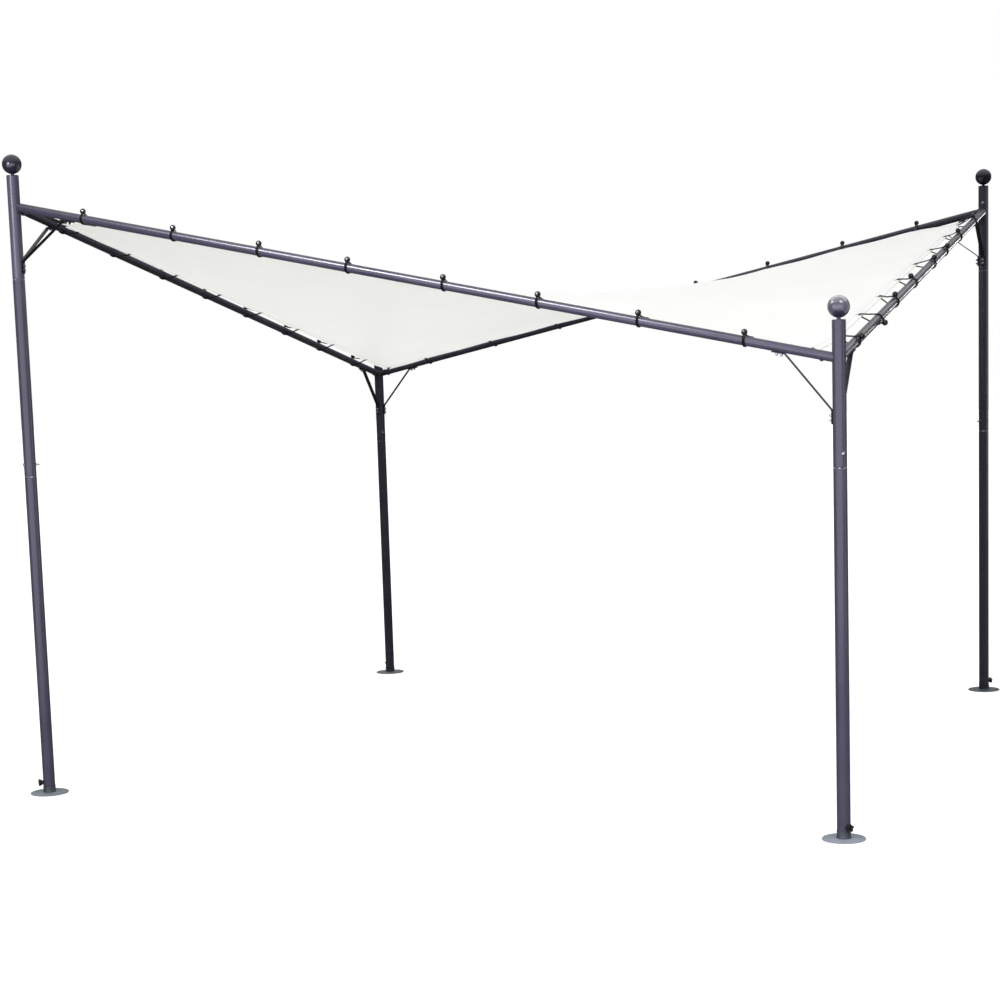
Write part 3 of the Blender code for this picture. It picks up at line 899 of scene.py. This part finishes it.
def clothPoint(x, y):
    # x and y are places on a plain square sheet; its edge is scalloped and its corners drawn in
    moved = []
    for across, along in ((x, y), (y, x)):
        between = sin(pi * (along - tiePlaces[0]) / tiePitch) ** 2
        fade = exp(-(clothEdge - abs(across)) / canopy["scallopReach"])
        pull = canopy["scallop"] * between * fade * min(1.0, (clothEdge - abs(along)) / 0.1)
        sign = 1 if across > 0 else -1
        moved.append(across - drawnIn(x, y) * sign - pull * sign)
    return Vector((*moved, clothHeight(*moved)))


def clothLines():
    # grid lines across the sheet, closer at the edge, at the hem's step and at its stitching
    near = [clothEdge - inset for inset in canopy["linesFromEdge"]] + [hemLine, hemLine - canopy["hemStep"]]
    count = canopy["cells"]
    inner = [near[-1] * (2 * i / count - 1) for i in range(1, count)]
    return sorted([-value for value in near]) + inner + sorted(near)


def makeCanopy():
    lines = clothLines()
    count = len(lines)
    bpy.ops.mesh.primitive_grid_add(x_subdivisions=count - 1, y_subdivisions=count - 1, size=2)
    piece = bpy.context.object
    mesh = piece.data
    places = []
    for vertex in mesh.vertices:
        x, y = (lines[round((value + 1) / 2 * (count - 1))] for value in vertex.co.xy)
        places.append((x, y))
        vertex.co = clothPoint(x, y)
    reaches = [max(abs(x), abs(y)) for x, y in places]
    thick = piece.vertex_groups.new(name="hem")
    thick.add([i for i, reach in enumerate(reaches) if reach >= hemLine - 0.0001], 1.0, "REPLACE")
    toStitches = [min(abs(reach - clothEdge + inset) for inset in canopy["stitchInset"]) for reach in reaches]
    mark(piece, "stitching", [distance < 0.001 for distance in toStitches])
    mesh.uv_layers[0].name = "flat"
    mesh.uv_layers["flat"].data.foreach_set(
        "uv", [value for loop in mesh.loops for value in places[loop.vertex_index]])
    modify(piece, "SOLIDIFY", thickness=canopy["hemThickness"], offset=0, vertex_group="hem",
           thickness_vertex_group=canopy["clothThickness"] / canopy["hemThickness"])
    return piece


def cornerInset(corner):
    # from the beams' axes to the middle of a corner's eyelet
    reach = halfSpan - canopy["cornerEyeletInset"]
    return canopy["cornerEyeletInset"] + drawnIn(corners[corner][0] * reach, corners[corner][1] * reach)


def clothSpot(x, y):
    # a place on the cloth, and the direction that it faces there
    step = 0.005
    alongX = Vector((2 * step, 0, clothHeight(x + step, y) - clothHeight(x - step, y)))
    alongY = Vector((0, 2 * step, clothHeight(x, y + step) - clothHeight(x, y - step)))
    return Vector((x, y, clothHeight(x, y))), alongX.cross(alongY).normalized()


def cornerSpot(corner):
    reach = halfSpan - cornerInset(corner)
    return clothSpot(corners[corner][0] * reach, corners[corner][1] * reach)


eyelet = {
    # radius of the hole and of the ring
    "side": (0.0056, 0.0105),
    "corner": (0.0065, 0.0135),
    "ringHeight": 0.0014,
    "crest": 0.45,  # where the ring is highest, as a share of its width from the hole
}


def makeEyelet(hole, ring):
    # a pressed ring, domed above and below the cloth
    half = canopy["hemThickness"] / 2
    high = half + eyelet["ringHeight"]
    crest = hole + (ring - hole) * eyelet["crest"]
    upper = [(hole, half + 0.0004), (hole + 0.0006, high), (crest, high), (ring - 0.0008, half + 0.0007),
             (ring, half + 0.0001)]
    lower = [(radius, -height) for radius, height in upper]
    return turnedPiece(lower[:1] + upper + lower[:0:-1], 28, closed=True)


canopyPiece = makeCanopy()
spots = {
    "side": [clothSpot(*beamPoint(side, x, canopy["eyeletInset"]).xy) for side in sides for x in tiePlaces],
    "corner": [cornerSpot(corner) for corner in corners],
}
cutters = []
rings = []
for kind in spots:
    hole, ring = eyelet[kind]
    model = makeEyelet(hole, ring)
    for spot, up in spots[kind]:
        cutters.append(place(cylinder(20, hole + 0.0008, 0.02), pointing(spot, up)))   # hidden by the ring
        rings.append(copyAt(model, pointing(spot, up)))
    discard(model)
cutWith(canopyPiece, joined(cutters))
print("canopy cut,", len(canopyPiece.data.polygons), "faces")
eyeletPiece = hangUp(joined(rings), "canopyEyelets", "canopy_fabric", "eyelet", sharpAngle=50)
hangUp(canopyPiece, "canopy.sheet", "canopy_fabric", node="canopy", sharpAngle=60)
print("canopy and eyelets made")


# Elastic ties: a doubled cord from a ball, round the beam, through an eyelet and back over the ball's neck

tie = {
    "cordDiameter": 0.0046,
    "strandGap": 0.0052,  # between the two strands' middles
    "ballDiameter": 0.0235,
    "ballAboveTube": 0.0140,  # from the tube to the ball's middle
    "neckRadius": 0.0062,
    "cordSteps": 8,
    # how far each band has slid along its beam from its eyelet, in metres, counted along the side
    "slid": {
        "front": (-0.004, 0.018, 0.008, -0.003, 0.004, -0.010, -0.013, -0.009),
        "right": (-0.058, -0.040, -0.096, -0.076, -0.012, -0.088, -0.085, -0.020),
        "back": (0.005, -0.003, 0.004, 0.007, -0.005, 0.002, -0.006, 0.003),
        "left": (-0.006, 0.004, -0.002, 0.006, 0.003, -0.007, 0.005, -0.003),
    },
    # where round its beam each ball sits, in degrees from the inner side up
    "turned": {
        "front": (90, 90, 90, 90, 97, 90, 90, 90),
        "right": (138, 205, 98, 76, 112, 122, 92, 90),
        "back": (90, 90, 90, 90, 90, 118, 90, 90),
        "left": (90, 90, 70, 90, 90, 90, 90, 90),
    },
}
tubeTop = beamRadius / slopeCos


def smoothPath(points, perSpan):
    # a smooth curve through the points, that starts and ends at the first and last
    ends = [points[0] * 2 - points[1]] + points + [points[-1] * 2 - points[-2]]
    path = []
    for a, b, c, d in zip(ends, ends[1:], ends[2:], ends[3:]):
        for t in (i / perSpan for i in range(perSpan)):
            path.append(0.5 * ((2 * b) + (c - a) * t + (2 * a - 5 * b + 4 * c - d) * t * t
                               + (3 * b - a - 3 * c + d) * t * t * t))
    return path + [points[-1]]


def cordMesh(path, diameter, closed=False):
    # a round cord swept along the path, with UVs that run round it and along it
    mesh = bmesh.new()
    uv = mesh.loops.layers.uv.new("along")
    count = len(path)
    steps = tie["cordSteps"]
    normal = Vector((0, 0, 1))
    rings = []
    for i, point in enumerate(path):
        before = path[i - 1] if i or closed else point
        after = path[(i + 1) % count] if i + 1 < count or closed else point
        direction = (after - before).normalized()
        normal = normal - direction * normal.dot(direction)
        if normal.length < 1e-4:
            normal = direction.orthogonal()
        normal.normalize()
        across = direction.cross(normal)
        rings.append([mesh.verts.new(point + (normal * cos(a) + across * sin(a)) * diameter / 2)
                      for a in (2 * pi * k / steps for k in range(steps))])
    length = 0.0
    for i in range(count if closed else count - 1):
        j = (i + 1) % count
        nextLength = length + (path[j] - path[i]).length
        for k in range(steps):
            spots = ((i, k, length), (i, k + 1, length), (j, k + 1, nextLength), (j, k, nextLength))
            face = mesh.faces.new([rings[row][column % steps] for row, column, _ in spots])
            for loop, (_, column, height) in zip(face.loops, spots):
                loop[uv].uv = (column / steps, height)
        length = nextLength
    if not closed:
        mesh.faces.new(rings[0][::-1])
        mesh.faces.new(rings[-1])
    bmesh.ops.recalc_face_normals(mesh, faces=mesh.faces)
    data = bpy.data.meshes.new("cord")
    mesh.to_mesh(data)
    mesh.free()
    piece = bpy.data.objects.new("cord", data)
    bpy.context.scene.collection.objects.link(piece)
    return piece


def tiePath(x, slid, eyeletRise, ballAngle):
    # in the side's frame: X along the beam, Y inward, Z up from its axis; the ball sits at ballAngle
    radius = tubeTop + tie["cordDiameter"] / 2 + 0.0002
    half = tie["strandGap"] / 2
    neck = tie["neckRadius"]
    inset = canopy["eyeletInset"]
    rise = eyeletRise - 0.004
    swing = acos(radius / hypot(inset, rise))
    leave = atan2(rise, inset) - swing
    arrive = atan2(rise, inset) + swing
    cosBall, sinBall = cos(ballAngle), sin(ballAngle)

    def near(out, outward):
        # a place measured from the axis through the ball, and from there round towards the outer side
        return out * cosBall - outward * sinBall, out * sinBall + outward * cosBall

    def roundTube(off, first, last, steps):
        angles = [first + (last - first) * i / steps for i in range(steps + 1)]
        return [(1, off, radius * cos(a), radius * sin(a)) for a in angles]

    # one of the two strands, as its share of the slide, its distance from the tie's middle, Y and Z
    strand = [(1, half, *near(tubeTop + tie["ballAboveTube"] - tie["ballDiameter"] / 2 + 0.003, 0.0015)),
              (1, half, *near(tubeTop + 0.0050, 0.0022))]
    strand += roundTube(half, ballAngle + radians(22), 2 * pi + leave, 9)
    strand += [(0.4, half, inset * 0.55, radius * sin(leave) * 0.42 + rise * 0.58),
               (0, half, inset - 0.010, eyeletRise - 0.0052), (0, half, inset - 0.0022, eyeletRise - 0.0022),
               (0, half, inset - 0.0016, eyeletRise + 0.0022), (0, half, inset - 0.010, eyeletRise + 0.0052),
               (0.5, half * 1.15, inset * 0.5, radius * sin(arrive) * 0.47 + eyeletRise * 0.53 + 0.002)]
    last = ballAngle - radians(32)
    if last > arrive + 0.1:
        strand += roundTube(half * 1.2, arrive, last, 5)
    strand += [(1, half * 1.9, *near(tubeTop + 0.0046, -0.011))]
    strand += [(1, neck * cos(radians(a)), *near(tubeTop + 0.0050, 0.002 + neck * 0.9 * sin(radians(a))))
               for a in (0, 35, 65)]
    points = [(slid * share + off, y, z) for share, off, y, z in strand]
    points += [(slid, *near(tubeTop + 0.0052, 0.002 + neck * 0.9))]
    points += [(slid * share - off, y, z) for share, off, y, z in strand[::-1]]
    return smoothPath([Vector((x + px, py, pz)) for px, py, pz in points], 3)


def makeBall():
    # a moulded ball with a faint parting line and a flat under it for the cord
    radius = tie["ballDiameter"] / 2
    lower = [(0, -radius * 0.96), (radius * 0.25, -radius * 0.96)] + arcPoints(0, 0, radius, -72, -3, 7)
    return turnedPiece(lower + [(radius + 0.00025, 0)] + arcPoints(0, 0, radius, 3, 90, 8), 24)


ballModel = makeBall()
for side in sides:
    cords = []
    balls = []
    for x, slid, turned in zip(tiePlaces, tie["slid"][side], tie["turned"][side]):
        ballAngle = radians(turned)
        spot = beamPoint(side, x, canopy["eyeletInset"])
        path = tiePath(x, slid, clothHeight(spot.x, spot.y) - spot.z, ballAngle)
        cords.append(place(cordMesh(path, tie["cordDiameter"]), sideMatrix(side)))
        out = tubeTop + tie["ballAboveTube"]
        middle = sideMatrix(side) @ Vector((x + slid, out * cos(ballAngle), out * sin(ballAngle)))
        upright = sideTurn(side) @ Matrix.Rotation(ballAngle - pi / 2, 4, "X")
        balls.append(copyAt(ballModel, Matrix.Translation(middle) @ upright))
    hangUp(joined(cords), "ties_" + side, "tie_elastic", node="hem_" + side, sharpAngle=70)
    hangUp(joined(balls), "tieBalls_" + side, "tie_elastic", "ball", sharpAngle=40)
discard(ballModel)


# Corner ties: a doubled cord from the corner eyelet to an eye screwed into the post between its beams

cornerTie = {
    "eyeFromPost": 0.013,  # from the post's skin to the middle of the eye
    "eyeRadius": 0.0065,
    "wireRadius": 0.0018,
    "shankRadius": 0.0022,
    "collarRadius": 0.0055,
    "cordDiameter": 0.0078,  # thicker than the side ties'
}


def makeEye():
    # a ring of wire on a short shank, standing on the post's skin and pointing along X
    ring, wire = cornerTie["eyeRadius"], cornerTie["wireRadius"]
    shank, collar = cornerTie["shankRadius"], cornerTie["collarRadius"]
    start = postRadius - 0.002
    middle = postRadius + cornerTie["eyeFromPost"]
    end = middle - ring + 0.0008
    bpy.ops.mesh.primitive_torus_add(major_radius=ring, minor_radius=wire, major_segments=28,
                                     minor_segments=10)
    parts = [place(bpy.context.object, Matrix.Translation((middle, 0, 0)) @ Matrix.Rotation(pi / 2, 4, "X"))]
    for profile, steps in (
            ([(0, start), (shank, start), (shank, end - 0.001), (0.0014, end), (0, end)], 14),
            ([(0, start), (collar, start), (collar, start + 0.0028), (0.0048, start + 0.0034),
              (0, start + 0.0034)], 20)):
        parts.append(place(turnedPiece(profile, steps), Matrix.Rotation(pi / 2, 4, "Y")))
    return joined(parts)


def cornerTiePath(reach, rise):
    # a closed loop from the eye, at height 0, through the corner eyelet; X points inward from the post's axis
    eye = postRadius + cornerTie["eyeFromPost"]
    hooked = eye + cornerTie["eyeRadius"] - cornerTie["wireRadius"] - cornerTie["cordDiameter"] / 2
    # along one side of the loop: X, Y, and how far it spreads from the line between its ends
    side = [(reach - 0.005, 0.0, 1), (reach - 0.03, 0.0012, 0.8), ((reach + eye) / 2, 0.0032, 0.3),
            (eye + 0.016, 0.0046, 0), (eye + 0.008, 0.0048, 0)]
    one, other = ([(x, sign * y, rise * ((x - hooked) / (reach - hooked)) + sign * spread * 0.0050)
                   for x, y, spread in side] for sign in (1, -1))
    return [Vector(point) for point in ((reach, 0, rise), *one, (hooked, 0, 0), *other[::-1])]


eyes = []
for corner, (sideX, sideY, isTall) in corners.items():
    eyeHeight = pavilion["beamHeight"][isTall]
    eyeMatrix = atPost(corner, eyeHeight) @ Matrix.Rotation(atan2(-sideY, -sideX), 4, "Z")
    points = cornerTiePath(cornerInset(corner) * sqrt(2), cornerSpot(corner)[0].z - eyeHeight)
    piece = cordMesh(smoothPath(points + points[:1], 4)[:-1], cornerTie["cordDiameter"], closed=True)
    hangUp(place(piece, eyeMatrix), "cornerTie_" + corner, "tie_elastic", sharpAngle=70)
    eyes.append(place(makeEye(), eyeMatrix))
hangUp(joined(eyes), "cornerEyes", "frame_paint", "bolt", sharpAngle=50)
print("ties made")


# Studio: a pale floor, soft light and the camera

studio = {
    "skyLow": 0.14,  # brightness of the surroundings at the horizon and overhead
    "skyHigh": 1.35,
    "floorColour": "#F4F4F4",
    "floorGlow": 0.40,
    "lilac": (0.91, 0.87, 1.0),
    "neutral": (1.0, 1.0, 0.97),
    "focalLength": 71.435,  # millimetres on a 36 mm wide sensor
    "cameraPlace": (3.26271, -8.77061, 1.73346),
    "yaw": 21.67664,
    "pitch": -7.13297,
    "roll": -1.74922,
    "shift": (-0.0171, 0.12063),
}
white = (1, 1, 1, 1)


def makeFloor():
    # Painted plywood studio floor: matt and almost white, with a little light of its own to reach the horizon
    bpy.ops.mesh.primitive_plane_add(size=120, location=(0, 0, -0.0005))
    floor = bpy.context.object
    floor.name = "studioFloor"
    paint = {"Roughness": 0.9, "Base Color": colour(studio["floorColour"]), "Emission Color": white,
             "Emission Strength": studio["floorGlow"]}
    floor.data.materials.append(newMaterial("paintedStudioFloor", paint)[0])
    floor.visible_glossy = False  # its white would wash out the dark frame; a light above it replaces it
    floor.visible_diffuse = False


def makeLight(name, where, target, size, power, tint, lit):
    # a softbox that the camera doesn't see, for the pieces whose names start with one of the words in lit
    bpy.ops.object.light_add(type="AREA", location=where)
    light = bpy.context.object
    light.name = name
    light.data.shape = "RECTANGLE"
    light.data.size, light.data.size_y = size
    light.data.energy = power
    light.data.color = studio[tint]
    light.rotation_euler = (Vector(where) - Vector(target)).to_track_quat("Z", "Y").to_euler()
    light.visible_camera = False
    receivers = bpy.data.collections.new(name)
    for piece in bpy.data.objects:
        if piece.type == "MESH" and piece.name.startswith(lit):
            receivers.objects.link(piece)
    light.light_linking.receiver_collection = receivers


def makeWorld():
    # white to the camera; for the object, dimmer round the horizon than overhead
    world = bpy.data.worlds.new("softSky")
    world.use_nodes = True
    tree = world.node_tree
    background = tree.nodes["Background"]
    background.inputs["Color"].default_value = white
    place = addNode(tree, "TexCoord")
    axes = addNode(tree, "SeparateXYZ", links={0: (place, "Generated")})
    sky = addNode(tree, "MapRange", {1: 0.1, 2: 0.9, 3: studio["skyLow"], 4: studio["skyHigh"]},
                  {0: (axes, 2)}, interpolation_type="SMOOTHSTEP")
    link(background, {"Strength": (sky, 0)})
    backdrop = addNode(tree, "Background", {"Color": white})
    ray = addNode(tree, "LightPath")
    mix = addNode(tree, "MixShader", links={0: (ray, "Is Camera Ray"), 1: (background, 0), 2: (backdrop, 0)})
    link(tree.nodes["World Output"], {"Surface": (mix, 0)})
    bpy.context.scene.world = world


def makeCamera():
    yaw, pitch, roll = (radians(studio[angle]) for angle in ("yaw", "pitch", "roll"))
    level = Matrix.Rotation(yaw, 3, "Z") @ Matrix.Rotation(pi / 2 + pitch, 3, "X")
    turn = level @ Matrix.Rotation(roll, 3, "Z")
    bpy.ops.object.camera_add(location=studio["cameraPlace"], rotation=turn.to_euler())
    camera = bpy.context.object
    camera.data.lens = studio["focalLength"]
    camera.data.sensor_width = 36
    camera.data.shift_x, camera.data.shift_y = studio["shift"]
    camera.data.dof.use_dof = False
    bpy.context.scene.camera = camera


def named(stems, ending):
    return tuple(stem + ending for stem in stems.split())


frontLeft = named("foot footKnob postLower postMiddle postTop finial postBolts", "FrontLeft")
frontRight = named("foot footKnob postLower postTop finial postBolts brace braceBolts", "FrontRight")
beamNear = named("beam tieBalls beamBolts", "Front")
beamSide = named("beam tieBalls beamBolts", "Right")
rightPost = named("postTop postLower", "FrontRight")
farPost = named("postTop postMiddle postLower", "BackRight")
cloth = ("canopy",)
ball = ("finialFrontRight",)
softBall = ((1.725, -1.725, 1.93), (7, 7))
sparkBall = ((1.725, -1.725, 1.93), (0.9, 0.9))
# Each light: its name, where it is, what it faces, its size, watts, tint, and the pieces that it lights.
lights = (
    ("softboxFront", (1.2, -5.6, 1.6), (1.2, -1.7, 1.6), (11, 3.2), 400, "lilac",
     frontLeft + frontRight + beamSide),
    ("softboxBeam", (2.1, -5.6, 1.6), (2.1, -1.7, 1.6), (9.6, 3.2), 450, "lilac", beamNear),
    ("stripTop", (-0.75, -3.9, 4.25), (-0.75, -1.7, 2.2), (2.4, 0.22), 520, "lilac", beamNear),
    ("stripLeft", (-2.1, -5.2, 3.0), (-1.7, -1.7, 2.5), (0.3, 0.9), 90, "lilac",
     named("postTop finial", "FrontLeft")),
    ("ballFront", (2.3, -4.4, 2.1), *softBall, 300, "lilac", ball),
    ("ballTop", (1.7, -1.4, 5.0), *softBall, 560, "neutral", ball),
    ("ballRight", (4.8, -1.4, 2.0), *softBall, 250, "neutral", ball),
    ("ballLeft", (-1.3, -2.2, 2.0), *softBall, 230, "neutral", ball),
    ("ballSparkLeft", (-0.6, -2.35, 3.7), *sparkBall, 50, "neutral", ball),
    ("ballSparkRight", (3.15, -3.2, 4.1), *sparkBall, 50, "neutral", ball),
    ("softboxHigh", (3.3, 5.9, 6.2), (1.7, -1.0, 2.0), (2.2, 2.2), 24, "neutral",
     beamSide + ("braceFrontRightRight",)),
    ("stripBehind", (3.3, 8.8, 2.6), (1.7, 0.0, 2.1), (1.0, 1.0), 32, "neutral", beamSide),
    ("softboxInner", (3.2, 0.6, 1.4), (-1.7, -1.7, 1.4), (2.0, 2.6), 40, "lilac", frontLeft),
    ("softboxRight", (6.0, -1.6, 1.4), (1.7, -1.7, 1.2), (1.6, 3.0), 32, "lilac", rightPost),
    ("softboxFar", (6.5, 3.0, 1.8), (1.7, 1.7, 1.4), (1.2, 2.4), 60, "neutral", farPost),
    ("softboxBelow", (0, 0, 0.02), (0, 0, 2), (14, 14), 630, "neutral", cloth),
    ("softboxCloth", (1.0, -6.0, 5.5), (0.9, 0, 2.1), (6, 3), 200, "neutral", cloth),
    ("softboxGrazing", (-1.5, 8.0, 3.4), (0.8, 0.5, 2.1), (8, 3), 90, "neutral", cloth),
)
makeFloor()
for light in lights:
    makeLight(*light)
bpy.data.objects["stripTop"].visible_diffuse = False  # it adds only the shine along the front beam
makeWorld()
makeCamera()
bpy.context.scene.view_settings.view_transform = "Standard"
print("studio made")
